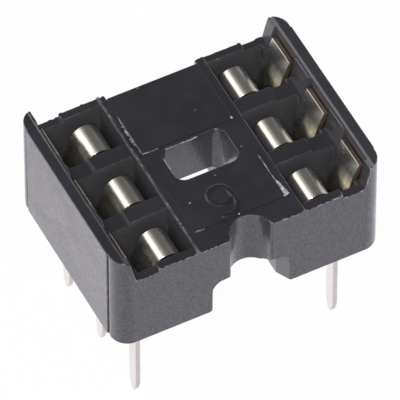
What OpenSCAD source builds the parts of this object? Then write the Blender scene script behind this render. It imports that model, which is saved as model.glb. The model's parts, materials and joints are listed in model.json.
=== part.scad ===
// DIP socket: a moulded open-frame housing with two rows of stamped two-leaf contacts.
// Millimetres, +Z up. The origin is the middle of the tail grid on the board's surface.
// The rows run along Y and the polarity groove is at the -Y end.

/* [Grid] */
// Number of contacts in each row
contacts_per_row = 3; // [2:1:10]
// Distance between neighbouring contacts in a row
pitch = 2.54; // [2.4:0.01:2.8]
// Distance between the two rows of tails
row_spacing = 7.62; // [7.3:0.01:15.24]

/* [Housing] */
// Height of the side walls above the board
housing_h = 4.3; // [4.1:0.05:5]
// Height of the deck above the board
deck_h = 3.48; // [3.3:0.02:3.6]
// Thickness of the deck over the tunnel
deck_t = 2; // [1.6:0.05:2.2]
// Thickness of the floor under the cells
floor_t = 0.5; // [0.4:0.05:0.6]
// Radius of the upright corners
corner_r = 0.66; // [0.4:0.02:0.8]
// How far the flat sides stand proud of the corners
side_proud = 0.03; // [0.01:0.01:0.06]
// Distance of the flat sides' ends from the end faces
side_end = 0.78; // [0.7:0.02:1]
// Depth of the shallow recess in the rear end
rear_recess = 0.2; // [0.1:0.02:0.25]
// Bevel along the inner edge of the side walls' tops
rim_bevel = 0.08; // [0.04:0.01:0.12]
// Foot of the posts between the blades, outside the lead line
post_foot = 0.53; // [0.48:0.01:0.6]
// Draft that leans the posts outwards towards the rim
post_lean = 13; // [8:1:14]

/* [Cells] */
// Thickness of the dividers between the cells
divider_t = 0.64; // [0.5:0.02:0.8]
// Reach of a cell from the lead line towards the middle
cell_reach = 1.76; // [1.7:0.02:1.9]
// How far the outer ends of the dividers lie below the deck
step_depth = 0.16; // [0.1:0.02:0.24]
// Distance of that step inside the lead line
step_inset = 0.31; // [0.2:0.01:0.5]
// Width of the raised rib along the cells' inner edges
rib_w = 0.12; // [0.08:0.02:0.2]
// Height of that rib over the deck
rib_h = 0.06; // [0.04:0.01:0.1]

/* [Deck] */
// Length of the deck's slot, across the socket
slot_l = 2.4; // [1.8:0.05:2.4]
// Width of the deck's slot, along the socket
slot_w = 1.56; // [1:0.02:1.6]
// Radius of the slot's corners
slot_r = 0.38; // [0.2:0.02:0.5]
// Radius of the polarity groove in the front end
groove_r = 0.75; // [0.5:0.05:0.8]
// Width of the raised panels before and behind the slot
panel_w = 3.46; // [2.6:0.02:3.6]
// Height of those panels over the deck
panel_rise = 0.05; // [0.02:0.01:0.08]
// Bare margin round the slot and the groove, at the panels' edges
panel_margin = 0.1; // [0.05:0.05:0.2]

/* [Tunnel] */
// Width of the tunnel between the rows
tunnel_w = 2.4; // [2.4:0.05:2.6]
// Width of the tunnel's mouths at the end faces
mouth_w = 2.94; // [2.7:0.02:3.2]
// Depth over which the mouths narrow
mouth_depth = 0.5; // [0.3:0.05:0.6]
// Clear height under the bars at the ends of the deck
bar_clear = 1.15; // [1:0.05:1.25]
// Thickness of those end bars, along the socket
bar_t = 1.1; // [0.9:0.05:1.2]
// Radius of the tunnel's upper corners
tunnel_r = 0.5; // [0.3:0.05:0.6]

/* [Contacts] */
// Thickness of the contact strip
strip_t = 0.2; // [0.15:0.01:0.22]
// Width of the two leaves
strip_w = 1.28; // [1:0.02:1.4]
// Inside radius of the two bends at the foot
foot_r = 0.15; // [0.1:0.01:0.2]
// Clearance round the foot and the tail in the housing
seat_gap = 0.03; // [0.02:0.005:0.05]

/* [Outer leaf] */
// Height of the blade's top edge above the board
blade_top = 3.88; // [3.7:0.02:4]
// Offset of the blade's inner face outside the lead line
blade_offset = 0.1; // [0.08:0.01:0.13]
// Angle at which the blade leans outwards
blade_lean = 22; // [18:1:24]
// Radius of the bend where the blade starts to lean
blade_bend_r = 3.8; // [3:0.1:4]
// Height at which that bend starts
blade_bend_z = 1.9; // [1.7:0.05:2]
// Clearance behind the blade
blade_gap = 0.05; // [0.03:0.01:0.08]

/* [Inner leaf] */
// Height of the arch's crest above the board
arch_top = 3.16; // [3:0.02:3.3]
// Outer radius of the arch
arch_r = 0.56; // [0.5:0.01:0.6]
// Distance of the arch's axis inside the lead line
arch_inset = 0.97; // [0.95:0.01:1.05]
// Angle at which the wiper leaves the arch
wiper_lean = 15; // [13:1:18]
// Outer radius of the wiper's curled end
wiper_r = 0.45; // [0.35:0.01:0.5]
// Angle through which that end curls
wiper_curl = 45; // [30:1:50]
// Free gap between the wiper and the blade, less than a lead's thickness
mouth_gap = 0.14; // [0.1:0.01:0.18]

/* [Tails] */
// Length of the tails below the board's surface
tail_l = 4.25; // [2.8:0.05:5]
// Width of the tails
tail_w = 0.46; // [0.4:0.02:0.6]
// Width of the tails' tips
tail_tip_w = 0.16; // [0.1:0.02:0.3]
// Length of the taper to the tip
tail_tip_l = 0.55; // [0.3:0.05:0.9]
// Height over which the tail jogs out to the blade
jog_h = 0.45; // [0.3:0.05:0.6]
// Cut left round the tail where it was lanced from the strip
lance_gap = 0.12; // [0.08:0.01:0.15]
// Length of strip left whole below the arch
leg_solid = 0.4; // [0.2:0.05:0.8]

/* [Hidden] */
$fn = 64;
// Spare length of a cutting shape past the face that it opens
over = 1;
// Overlap that joins two stretches of strip across a tangent
weld = 0.002;

contact_count = 2 * contacts_per_row;
row_x = row_spacing / 2;
body_w = row_spacing + pitch;
body_l = contacts_per_row * pitch;
cell_w = pitch - divider_t;
cell_edge = row_x - cell_reach;
divider_h = deck_h - step_depth;
tunnel_h = deck_h - deck_t;

// Outer leaf, measured outwards from the lead line
blade_out = blade_offset + strip_t;
blade_rise = [sin(blade_lean), cos(blade_lean)];
blade_back = [cos(blade_lean), -sin(blade_lean)];
bend_centre = [blade_offset + blade_bend_r, blade_bend_z];
lean_start = bend_centre - blade_bend_r * blade_back;
lean_l = (blade_top - lean_start.y) / cos(blade_lean);
blade_tip_out = lean_start + lean_l * blade_rise + strip_t * blade_back;

// Inner leaf, measured outwards from the lead line
arch_z = arch_top - arch_r;
leg_out = -arch_inset - arch_r;
leg_in = leg_out + strip_t;
base_top = floor_t + strip_t;
foot_z = base_top + foot_r;
curl_reach = blade_offset - mouth_gap - wiper_r;
wiper_l = (curl_reach + arch_inset - (arch_r - wiper_r) * cos(wiper_lean)) / sin(wiper_lean);

// Inner face of the side walls at the rim, just clear of the blades
rim_edge = blade_tip_out.x + blade_gap;
post_top = min(rim_edge - rim_bevel / 2, post_foot + (housing_h - rim_bevel - divider_h) * tan(post_lean));
recess_w = strip_w + 2 * (blade_gap + seat_gap + rim_bevel / 2);
panel_start = slot_w / 2 + panel_margin;
panel_end = body_l / 2 - groove_r - panel_margin;

// Pins count from the groove along the +X row and come back along the -X row
function in_first_row(i) = i <= contacts_per_row;
function contact_place(i) = in_first_row(i) ? i : contact_count + 1 - i;
function contact_y(i) = (contact_place(i) - (contacts_per_row + 1) / 2) * pitch;
// Closes a half outline with its mirror image about the Z axis
function both_sides(half) = concat(half, [for (i = [len(half) - 1:-1:0]) [-half[i].x, half[i].y]]);

// Moves a contact's own frame, with its origin on the lead line, to its cell
module at_contact(i) {
    translate([0, contact_y(i), 0])
        rotate(in_first_row(i) ? 0 : 180)
            translate([row_x, 0, 0])
                children();
}

// Extrudes an outline in X and Z to a width along Y
module along_y(width) {
    rotate([90, 0, 0])
        translate([0, 0, -width / 2])
            linear_extrude(width)
                children();
}

// Extrudes an outline in Y and Z to a width along X
module along_x(width) {
    rotate([90, 0, 90])
        translate([0, 0, -width / 2])
            linear_extrude(width)
                children();
}

// Bent stretch of strip, seen from the side, round the origin
module strip_bend(outer_r, start, turn) {
    reach = 2 * outer_r;
    angles = [for (share = [0:0.25:1]) start + turn * share];
    difference() {
        intersection() {
            circle(outer_r);
            polygon(concat([[0, 0]], [for (a = angles) reach * [cos(a), sin(a)]]));
        }
        circle(outer_r - strip_t);
    }
}

// Rectangle with round corners
module round_rect(w, l, r) {
    square([w - 2 * r, l], center = true);
    square([w, l - 2 * r], center = true);
    for (x = [-1, 1], y = [-1, 1])
        translate([x * (w / 2 - r), y * (l / 2 - r)])
            circle(r);
}

// Arched opening that stands on the board's surface
module arched_opening(w, h) {
    translate([-w / 2, -over])
        square([w, h - tunnel_r + over]);
    translate([tunnel_r - w / 2, -over])
        square([w - 2 * tunnel_r, h + over]);
    for (x = [-1, 1])
        translate([x * (w / 2 - tunnel_r), h - tunnel_r])
            circle(tunnel_r);
}

// Housing before its cells are cut: sides, corners and the channel over the deck
module housing_blank() {
    channel = [
        [row_x - step_inset, deck_h],
        [row_x - step_inset, divider_h],
        [row_x + post_foot, divider_h],
        [row_x + post_top, housing_h - rim_bevel],
        [row_x + rim_edge, housing_h],
        [row_x + rim_edge, housing_h + over],
    ];
    difference() {
        union() {
            linear_extrude(housing_h)
                round_rect(body_w - 2 * side_proud, body_l, corner_r);
            translate([-body_w / 2, side_end - body_l / 2, 0])
                cube([body_w, body_l - 2 * side_end, housing_h]);
        }
        along_y(body_l + 2 * over)
            polygon(both_sides(channel));
    }
}

// Raised strip on the deck, rooted in it by its own height
module raised(x, w, y_from, y_to, rise) {
    translate([x - w / 2, y_from, deck_h - rise])
        cube([w, y_to - y_from, 2 * rise]);
}

// Ribs along the cells and the two panels on the deck
module deck_relief() {
    for (side = [-1, 1])
        raised(side * (cell_edge - rib_w / 2), rib_w, -body_l / 2, body_l / 2, rib_h);
    raised(0, panel_w, panel_start, body_l / 2, panel_rise);
    raised(0, panel_w, -panel_end, -panel_start, panel_rise);
}

// Tunnel between the rows: high under the deck, lower under the end bars, with a flared mouth at each end
module tunnel() {
    flare = (mouth_w - tunnel_w) / 2 / mouth_depth;
    rise = (tunnel_h - bar_clear) / mouth_depth;
    mouth_plan = [
        [tunnel_w / 2, body_l / 2 - mouth_depth],
        [mouth_w / 2 + over * flare, body_l / 2 + over],
    ];
    mouth_side = [
        [body_l / 2 - mouth_depth, -over],
        [body_l / 2 - mouth_depth, bar_clear],
        [body_l / 2 + over, tunnel_h + over * rise],
        [body_l / 2 + over, -over],
    ];
    along_y(body_l - 2 * bar_t)
        arched_opening(tunnel_w, tunnel_h);
    along_y(body_l + 2 * over)
        arched_opening(tunnel_w, bar_clear);
    for (turn = [0, 180])
        rotate(turn)
            intersection() {
                translate([0, body_l / 2, 0])
                    along_y(2 * mouth_depth)
                        arched_opening(mouth_w, tunnel_h);
                translate([0, 0, -over])
                    linear_extrude(tunnel_h + 2 * over)
                        polygon(both_sides(mouth_plan));
                along_x(mouth_w + 2 * over)
                    polygon(mouth_side);
            }
}

// Cell of one contact, in the contact's own frame: well, blade recess and tail slot
module cell() {
    recess = [
        [0, blade_bend_z],
        [blade_out + blade_gap, blade_bend_z],
        [rim_edge, blade_tip_out.y],
        [rim_edge, housing_h + over],
        [0, housing_h + over],
    ];
    translate([-cell_reach, -cell_w / 2, floor_t])
        cube([cell_reach + blade_out + blade_gap, cell_w, housing_h]);
    along_y(recess_w)
        polygon(recess);
    cube([strip_t + 2 * seat_gap, tail_w + 2 * seat_gap, 2 * floor_t + over], center = true);
}

// Moulded housing, one piece
module housing() {
    color("#232327")
        difference() {
            union() {
                housing_blank();
                deck_relief();
            }
            tunnel();
            for (i = [1:contact_count])
                at_contact(i)
                    cell();
            translate([0, 0, tunnel_h - over])
                linear_extrude(deck_t + 2 * over)
                    round_rect(slot_l, slot_w, slot_r);
            translate([0, -body_l / 2, bar_clear - over])
                cylinder(r = groove_r, h = housing_h + over);
            translate([-panel_w / 2, body_l / 2 - rear_recess, -over])
                cube([panel_w, rear_recess + over, housing_h + 2 * over]);
        }
}

// Side view of the strip from the blade down to its foot and up to the arch
module leaf_outline() {
    translate(lean_start)
        rotate(-blade_lean)
            translate([0, -weld])
                square([strip_t, lean_l + weld]);
    translate(bend_centre)
        strip_bend(blade_bend_r, 180, -blade_lean);
    translate([blade_offset, foot_z])
        square([strip_t, blade_bend_z - foot_z]);
    translate([blade_offset - foot_r, foot_z])
        strip_bend(foot_r + strip_t, 270, 90);
    translate([leg_in + foot_r, floor_t])
        square([blade_offset - leg_in - 2 * foot_r, strip_t]);
    translate([leg_in + foot_r, foot_z])
        strip_bend(foot_r + strip_t, 180, 90);
    translate([leg_out, foot_z])
        square([strip_t, arch_z - foot_z]);
    translate([-arch_inset, arch_z])
        strip_bend(arch_r, wiper_lean, 180 - wiper_lean);
}

// Tail, lanced from the middle of the strip and jogged in to the lead line
module tail() {
    jog_top = floor_t + jog_h;
    side_view = [
        [blade_offset, jog_top + strip_t],
        [blade_out, jog_top + strip_t],
        [blade_out, jog_top],
        [strip_t / 2, floor_t],
        [strip_t / 2, -tail_l],
        [-strip_t / 2, -tail_l],
        [-strip_t / 2, floor_t],
        [blade_offset, jog_top],
    ];
    front_view = [
        [tail_w / 2, jog_top + over],
        [tail_w / 2, tail_tip_l - tail_l],
        [tail_tip_w / 2, -tail_l],
    ];
    intersection() {
        along_y(tail_w + over)
            polygon(side_view);
        along_x(2 * (blade_out + over))
            polygon(both_sides(front_view));
    }
}

// Fixed part of a contact, in its own frame: tail, foot, blade, leg and arch
module contact() {
    base_w = cell_w - 2 * seat_gap;
    lance_w = tail_w + 2 * lance_gap;
    lance_top = arch_z - leg_solid;
    color("#cfccc2") {
        difference() {
            union() {
                along_y(strip_w)
                    leaf_outline();
                translate([leg_in + foot_r, -base_w / 2, floor_t])
                    cube([blade_offset - leg_in - 2 * foot_r, base_w, strip_t]);
            }
            translate([leg_out - over, -lance_w / 2, 0])
                cube([blade_out - leg_out + 2 * over, lance_w, floor_t + jog_h]);
            translate([leg_out - over, -lance_w / 2, 0])
                cube([strip_t + 2 * over, lance_w, lance_top]);
        }
        tail();
    }
}

// Moving end of the inner leaf, which swings about the arch's axis
module wiper() {
    color("#cfccc2")
        along_y(strip_w)
            translate([-arch_inset, arch_z])
                rotate(wiper_lean) {
                    translate([arch_r - strip_t, -wiper_l])
                        square([strip_t, wiper_l]);
                    translate([arch_r - wiper_r, -wiper_l])
                        strip_bend(wiper_r, 0, -wiper_curl);
                }
}

housing();
for (i = [1:contact_count]) {
    at_contact(i) contact();
    at_contact(i) wiper();
}
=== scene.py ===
"""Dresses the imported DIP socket: moulded housing, stamped contacts, white studio and camera."""

import json
import logging
import math
import random
from dataclasses import dataclass, field
from enum import Enum, IntEnum

import bmesh
import bpy
from bmesh.types import BMEdge, BMesh, BMFace, BMVert
from bpy.types import Material, Mesh, MeshPolygon, Node, NodeSocket, NodeTree, Object
from mathutils import Matrix, Vector, noise

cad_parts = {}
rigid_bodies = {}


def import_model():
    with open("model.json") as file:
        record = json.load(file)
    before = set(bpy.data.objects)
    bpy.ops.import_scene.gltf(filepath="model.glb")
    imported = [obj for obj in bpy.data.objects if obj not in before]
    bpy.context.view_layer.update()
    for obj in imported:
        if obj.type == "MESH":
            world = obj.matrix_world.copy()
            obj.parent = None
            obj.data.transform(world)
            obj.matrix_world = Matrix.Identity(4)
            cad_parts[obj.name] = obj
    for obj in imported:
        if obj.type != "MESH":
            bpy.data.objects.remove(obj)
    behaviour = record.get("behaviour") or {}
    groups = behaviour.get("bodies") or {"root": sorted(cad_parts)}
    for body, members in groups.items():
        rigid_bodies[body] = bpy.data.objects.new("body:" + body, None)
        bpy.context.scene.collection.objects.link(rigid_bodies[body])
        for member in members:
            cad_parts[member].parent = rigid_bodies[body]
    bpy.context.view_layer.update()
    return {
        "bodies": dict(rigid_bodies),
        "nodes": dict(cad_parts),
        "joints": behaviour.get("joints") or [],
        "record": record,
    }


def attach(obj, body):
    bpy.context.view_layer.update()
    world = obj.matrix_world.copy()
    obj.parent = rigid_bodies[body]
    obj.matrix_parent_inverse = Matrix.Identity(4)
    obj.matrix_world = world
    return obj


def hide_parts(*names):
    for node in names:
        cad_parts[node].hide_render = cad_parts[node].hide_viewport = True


LOG = logging.getLogger("dip_socket")
SOCKET_BODY = "socket"
PLASTIC_SLOT = "housing_plastic"
METAL_SLOT = "contact_metal"

# Meshes are drawn in millimetres: points within WELD are one point, and places within TOUCH are the same place.
MM = 0.001
WELD = 1e-4
TOUCH = 0.005
SMOOTH_DEG = 50.0

Pair = tuple[float, float]
Triple = tuple[float, float, float]
Colour = tuple[float, float, float, float]
Feed = float | Triple | Colour | NodeSocket

EVEN: Triple = (1.0, 1.0, 1.0)
UP = Vector((0.0, 0.0, 1.0))


class Row(Enum):
    """The two rows of contacts, by the side of the middle plane that they stand on."""

    FIRST = 1
    SECOND = -1


class Zone(Enum):
    """How much of the strip's width is left at a place along it: which columns of the sheet are there."""

    FULL = (1, 2, 3, 4, 5)
    RAILS = (1, 5)
    EARS = (0, 1, 5, 6)


class StripPart(IntEnum):
    """Parts of a contact's surface that have a finish of their own, in the order of its finishes."""

    FACE = 0
    BARE_EDGE = 1
    PLATED_EDGE = 2
    TAIL_FACE = 3


class Effect(Enum):
    """Shader effects that more than one finish uses, with their inputs besides the place and their output."""

    MOTTLE = ("mottle", ("Scale", "Low", "High"), "Mask")
    LINES = ("drawn_lines", ("Scale",), "Height")
    SPECKS = ("specks", ("Scale", "Size", "Share"), "Mask")


# Shader helpers


def join(tree: NodeTree, target: NodeSocket, value: Feed) -> None:
    """Links a socket to an input, or sets the input's own value.

    Args:
        tree: The node tree.
        target: The input.
        value: A socket, or a number or colour.
    """
    if isinstance(value, NodeSocket):
        tree.links.new(value, target)
    else:
        target.default_value = value


def feed(tree: NodeTree, node: Node, **values: Feed) -> None:
    """Sets or links inputs of a node, by their names with spaces written as underscores."""
    for name, value in values.items():
        join(tree, node.inputs[name.replace("_", " ")], value)


def add_node(tree: NodeTree, kind: str, **settings: object) -> Node:
    """Adds a shader node, sets its properties, and sets or links its inputs.

    Args:
        tree: The node tree that gets the node.
        kind: The node's type, without the ShaderNode that all of them start with.
        settings: Property names, or input names with spaces written as underscores, and what they get.

    Returns:
        The new node.
    """
    node = tree.nodes.new(f"ShaderNode{kind}")
    for name, value in settings.items():
        if hasattr(node, name):
            setattr(node, name, value)
        else:
            feed(tree, node, **{name: value})
    return node


def calculated(tree: NodeTree, operation: str, first: Feed, second: Feed) -> NodeSocket:
    """Result of one step of arithmetic.

    Args:
        tree: The node tree.
        operation: The kind of step, such as MULTIPLY.
        first: A value, or a socket that gives one.
        second: The same.

    Returns:
        The socket that gives the result.
    """
    node = add_node(tree, "Math", operation=operation)
    join(tree, node.inputs[0], first)
    join(tree, node.inputs[1], second)
    return node.outputs["Value"]


def mixed(tree: NodeTree, mask: NodeSocket, low: Feed, high: Feed) -> NodeSocket:
    """Colour between two others, by a mask.

    Args:
        tree: The node tree.
        mask: Socket that gives 0 for low and 1 for high.
        low: A colour, or a socket that gives one.
        high: The same.

    Returns:
        The socket that gives the colour.
    """
    mix = add_node(tree, "Mix", data_type="RGBA", Factor=mask)
    colours = [socket for socket in mix.inputs if socket.type == "RGBA"]
    for socket, value in zip(colours, (low, high)):
        join(tree, socket, value)
    return next(socket for socket in mix.outputs if socket.type == "RGBA")


def ranged(tree: NodeTree, mask: NodeSocket, low: float, high: float) -> NodeSocket:
    """Value between two others, by a mask."""
    return add_node(tree, "MapRange", Value=mask, To_Min=low, To_Max=high).outputs["Result"]


def blended(tree: NodeTree, mask: NodeSocket, low: NodeSocket, high: NodeSocket) -> NodeSocket:
    """Shader between two others, by a mask.

    Args:
        tree: The node tree.
        mask: Socket that gives 0 for low and 1 for high.
        low: Socket that gives a shader.
        high: The same.

    Returns:
        The socket that gives the shader.
    """
    mix = add_node(tree, "MixShader", Fac=mask)
    join(tree, mix.inputs[1], low)
    join(tree, mix.inputs[2], high)
    return mix.outputs["Shader"]


def attribute(tree: NodeTree, name: str) -> NodeSocket:
    """Value that a mesh carries under a name."""
    return add_node(tree, "Attribute", attribute_name=name).outputs["Fac"]


def placed_vector(tree: NodeTree, squeeze: Triple) -> NodeSocket:
    """Object coordinates, squeezed along the axes."""
    place = add_node(tree, "TexCoord").outputs["Object"]
    return add_node(tree, "Mapping", Scale=squeeze, Vector=place).outputs["Vector"]


def bumped(tree: NodeTree, depth: float, height: NodeSocket, **under: NodeSocket) -> NodeSocket:
    """Normal of a surface with fine relief, on top of another normal if one is given."""
    return add_node(tree, "Bump", Distance=depth, Strength=1.0, Height=height, **under).outputs["Normal"]


def new_material(name: str) -> tuple[Material, NodeTree, Node]:
    """Makes a material with one Principled shader.

    Args:
        name: The material's name.

    Returns:
        The material, its node tree and the shader node.
    """
    material = bpy.data.materials.new(name)
    material.use_nodes = True
    return material, material.node_tree, material.node_tree.nodes["Principled BSDF"]


class Effects:
    """The shared effects as shader node groups, each built once."""

    def __init__(self) -> None:
        """Starts with no groups built."""
        self._groups: dict[Effect, NodeTree] = {}

    def place(self, tree: NodeTree, effect: Effect, vector: NodeSocket, *values: float) -> NodeSocket:
        """Puts an effect into a material with its own values.

        Args:
            tree: The material's node tree.
            effect: The effect.
            vector: Socket that gives the place on the surface.
            values: The effect's inputs, in their order.

        Returns:
            The socket that gives the effect's mask or height.
        """
        if effect not in self._groups:
            self._groups[effect] = self._make(effect)
        settings = dict(zip(effect.value[1], values))
        return add_node(tree, "Group", node_tree=self._groups[effect], Vector=vector, **settings).outputs[0]

    def _make(self, effect: Effect) -> NodeTree:
        """Builds an effect's group.

        Args:
            effect: The effect.

        Returns:
            The group's tree.
        """
        name, inputs, output = effect.value
        tree = bpy.data.node_groups.new(name, "ShaderNodeTree")
        tree.interface.new_socket("Vector", in_out="INPUT", socket_type="NodeSocketVector")
        for key in inputs:
            tree.interface.new_socket(key, in_out="INPUT", socket_type="NodeSocketFloat")
        tree.interface.new_socket(output, in_out="OUTPUT", socket_type="NodeSocketFloat")
        given = {socket.name: socket for socket in tree.nodes.new("NodeGroupInput").outputs}
        draw = {Effect.MOTTLE: self._mottle, Effect.LINES: self._lines, Effect.SPECKS: self._specks}[effect]
        tree.links.new(draw(tree, given), tree.nodes.new("NodeGroupOutput").inputs[output])
        return tree

    @staticmethod
    def _mottle(tree: NodeTree, given: dict[str, NodeSocket]) -> NodeSocket:
        """Soft cloudy patches, from 0 to 1.

        Args:
            tree: The group's tree.
            given: The group's inputs.

        Returns:
            The socket that gives the mask.
        """
        cloud = add_node(tree, "TexNoise", Detail=4.0, Roughness=0.6, Vector=given["Vector"], Scale=given["Scale"])
        spread = add_node(
            tree, "MapRange", interpolation_type="SMOOTHSTEP", Value=cloud.outputs["Fac"],
            From_Min=given["Low"], From_Max=given["High"],
        )
        return spread.outputs["Result"]

    @staticmethod
    def _lines(tree: NodeTree, given: dict[str, NodeSocket]) -> NodeSocket:
        """Height of fine lines along the axis in which the vector was squeezed."""
        lines = add_node(tree, "TexNoise", Detail=3.0, Roughness=0.7, Vector=given["Vector"], Scale=given["Scale"])
        return lines.outputs["Fac"]

    @staticmethod
    def _specks(tree: NodeTree, given: dict[str, NodeSocket]) -> NodeSocket:
        """Sparse small dots, such as dust or pinholes, as a mask.

        Args:
            tree: The group's tree.
            given: The group's inputs.

        Returns:
            The socket that gives the mask.
        """
        cells = add_node(tree, "TexVoronoi", feature="F1", Vector=given["Vector"], Scale=given["Scale"])
        pick = add_node(tree, "SeparateColor", Color=cells.outputs["Color"])
        dot = calculated(tree, "LESS_THAN", cells.outputs["Distance"], given["Size"])
        chosen = calculated(tree, "LESS_THAN", pick.outputs["Red"], given["Share"])
        return calculated(tree, "MULTIPLY", dot, chosen)


# Finishes


@dataclass(frozen=True)
class MouldedPlastic:
    """Black glass-filled moulding: satin, cloudy, with a fine grain and drag lines from the mould.

    Cloudy patches have a scale and the two values between which they fade in, and specks a scale, size and share.
    """

    name: str = "moulded_black"
    colour: Colour = (0.0205, 0.0195, 0.0245, 1.0)
    cloud: Triple = (700.0, 0.35, 0.68)
    cloud_colour: Colour = (0.0245, 0.0235, 0.0295, 1.0)
    # Painted light: paler colour for the cells' upright walls, the mouth's wall and the right rim.
    painted_light_colour: Colour = (0.08, 0.077, 0.08, 1.0)
    breakup: Triple = (5200.0, 0.42, 0.62)
    wear_and_highlight_share: Pair = (0.15, 1.0)
    # Rubbed wear and painted highlight: pale colour on rounded edges and the left rib, with painted glints in
    # specks.
    wear_and_highlight_colour: Colour = (0.25, 0.243, 0.265, 1.0)
    chips: Triple = (11000.0, 0.4, 0.1)
    glint_colour: Colour = (0.42, 0.41, 0.43, 1.0)
    dust: Triple = (1500.0, 0.045, 0.16)
    dust_colour: Colour = (0.2, 0.2, 0.22, 1.0)
    grain: Triple = (11500.0, 0.34, 0.66)
    grain_colours: tuple[Colour, Colour] = ((0.01, 0.0095, 0.012, 1.0), (0.035, 0.0335, 0.041, 1.0))
    grain_depth: float = 0.0000014
    drag_scale: float = 9000.0
    drag_squeeze: Triple = (1.0, 1.0, 0.06)
    drag_depth: float = 0.0000012
    roughness: Pair = (0.27, 0.36)
    ior: float = 1.5
    gloss_tint: Colour = (0.9, 0.86, 1.0, 1.0)
    skin: Pair = (0.6, 1.0)
    skin_roughness: float = 0.16
    skin_ior: float = 1.5

    def build(self, effects: Effects) -> Material:
        """Builds the material.

        Args:
            effects: The shared shader groups.

        Returns:
            The material.
        """
        material, tree, shader = new_material(self.name)
        even = placed_vector(tree, EVEN)
        cloud = effects.place(tree, Effect.MOTTLE, even, *self.cloud)
        breakup = effects.place(tree, Effect.MOTTLE, even, *self.breakup)
        grain = effects.place(tree, Effect.MOTTLE, even, *self.grain)
        drag = effects.place(tree, Effect.LINES, placed_vector(tree, self.drag_squeeze), self.drag_scale)
        dust = effects.place(tree, Effect.SPECKS, even, *self.dust)
        chips = effects.place(tree, Effect.SPECKS, even, *self.chips)
        edge = attribute(tree, Housing.WORN_LIT_EDGE)
        colour = mixed(tree, cloud, self.colour, self.cloud_colour)
        for mask, over in (
            (attribute(tree, Housing.GRAIN), mixed(tree, grain, *self.grain_colours)),
            # painted light on the marked walls
            (attribute(tree, Housing.PAINTED_LIGHT_WALL), self.painted_light_colour),
            # rubbed wear and painted highlight along the edges, then painted glints on them
            (calculated(tree, "MULTIPLY", edge, ranged(tree, breakup, *self.wear_and_highlight_share)), self.wear_and_highlight_colour),
            (calculated(tree, "MULTIPLY", edge, chips), self.glint_colour),
            (dust, self.dust_colour),
        ):
            colour = mixed(tree, mask, colour, over)
        fine = bumped(tree, self.grain_depth, grain)
        feed(
            tree, shader, Base_Color=colour, Roughness=ranged(tree, cloud, *self.roughness), IOR=self.ior,
            Specular_Tint=self.gloss_tint, Coat_Weight=ranged(tree, grain, *self.skin),
            Coat_Roughness=self.skin_roughness, Coat_IOR=self.skin_ior,
            Normal=bumped(tree, self.drag_depth, drag, Normal=fine),
        )
        return material


@dataclass(frozen=True)
class StripMetal:
    """Metal of the contact strip: a plated face, with painted shade and a painted reflection on the blade, or a bare
    sheared edge.
    """

    name: str
    colour: Colour
    tarnish_colour: Colour
    roughness: Pair
    metallic: float = 0.972
    tarnish: Triple = (1100.0, 0.4, 0.8)
    pits: Triple = (3800.0, 0.07, 0.06)
    line_scale: float = 16000.0
    line_squeeze: Triple = (0.05, 1.0, 0.05)
    line_depth: float = 0.00000015
    # Painted shade on the blade, where it would mirror dark walls, and a painted reflection: a pale yellow spot low
    # on it.
    shade_colour: Colour | None = None
    reflection_colour: Colour = (0.97, 0.83, 0.46, 1.0)
    reflection_metallic: float = 0.05
    reflection_patches: Triple = (2600.0, 0.3, 0.7)
    reflection_share: Pair = (0.6, 1.0)

    def build(self, effects: Effects) -> Material:
        """Builds the material.

        Args:
            effects: The shared shader groups.

        Returns:
            The material.
        """
        material, tree, shader = new_material(self.name)
        even = placed_vector(tree, EVEN)
        stain = effects.place(tree, Effect.MOTTLE, even, *self.tarnish)
        pits = effects.place(tree, Effect.SPECKS, even, *self.pits)
        rolled = effects.place(tree, Effect.LINES, placed_vector(tree, self.line_squeeze), self.line_scale)
        colour = mixed(tree, stain, self.colour, self.tarnish_colour)
        colour = mixed(tree, pits, colour, self.tarnish_colour)
        metallic: Feed = self.metallic
        if self.shade_colour:
            # Painted shade over the blade, then a painted reflection: a pale yellow spot with little metal.
            colour = mixed(tree, attribute(tree, Contact.PAINTED_SHADE), colour, self.shade_colour)
            patches = ranged(tree, effects.place(tree, Effect.MOTTLE, even, *self.reflection_patches), *self.reflection_share)
            painted_spot = calculated(tree, "MULTIPLY", attribute(tree, Contact.PAINTED_REFLECTION), patches)
            colour = mixed(tree, painted_spot, colour, self.reflection_colour)
            metallic = ranged(tree, painted_spot, self.metallic, self.reflection_metallic)
        feed(
            tree, shader, Base_Color=colour, Metallic=metallic, Roughness=ranged(tree, stain, *self.roughness),
            Normal=bumped(tree, self.line_depth, rolled),
        )
        return material


BLACK_PLASTIC = MouldedPlastic()
# Torn flash: paler plastic, partly real pale torn skin and partly painted glints in its bright cloudy flecks.
TORN_GLINTING_PLASTIC = MouldedPlastic(
    name="torn_flash", colour=(0.1, 0.098, 0.108, 1.0), cloud=(6000.0, 0.35, 0.68),
    cloud_colour=(0.5, 0.49, 0.53, 1.0), roughness=(0.5, 0.7), skin=(0.2, 0.5),
)
# Painted shade: the number's moulding is darker than the deck, standing in for the shade on its flanks.
SHADED_MARK_PLASTIC = MouldedPlastic(
    name="mark_black", colour=(0.0165, 0.0157, 0.0196, 1.0), cloud_colour=(0.0205, 0.0195, 0.0245, 1.0),
    skin=(0.15, 0.45),
)
TIN_PLATE = StripMetal(
    "tin_plate", (0.77, 0.745, 0.69, 1.0), (0.71, 0.67, 0.59, 1.0), (0.25, 0.3),
    shade_colour=(0.4, 0.39, 0.385, 1.0),
)
TAIL_PLATE = StripMetal("tail_plate", (0.83, 0.84, 0.79, 1.0), (0.79, 0.79, 0.74, 1.0), (0.25, 0.3))
TAIL_EDGE = StripMetal("tail_edge", (0.63, 0.57, 0.54, 1.0), (0.54, 0.48, 0.45, 1.0), (0.3, 0.4))
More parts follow.
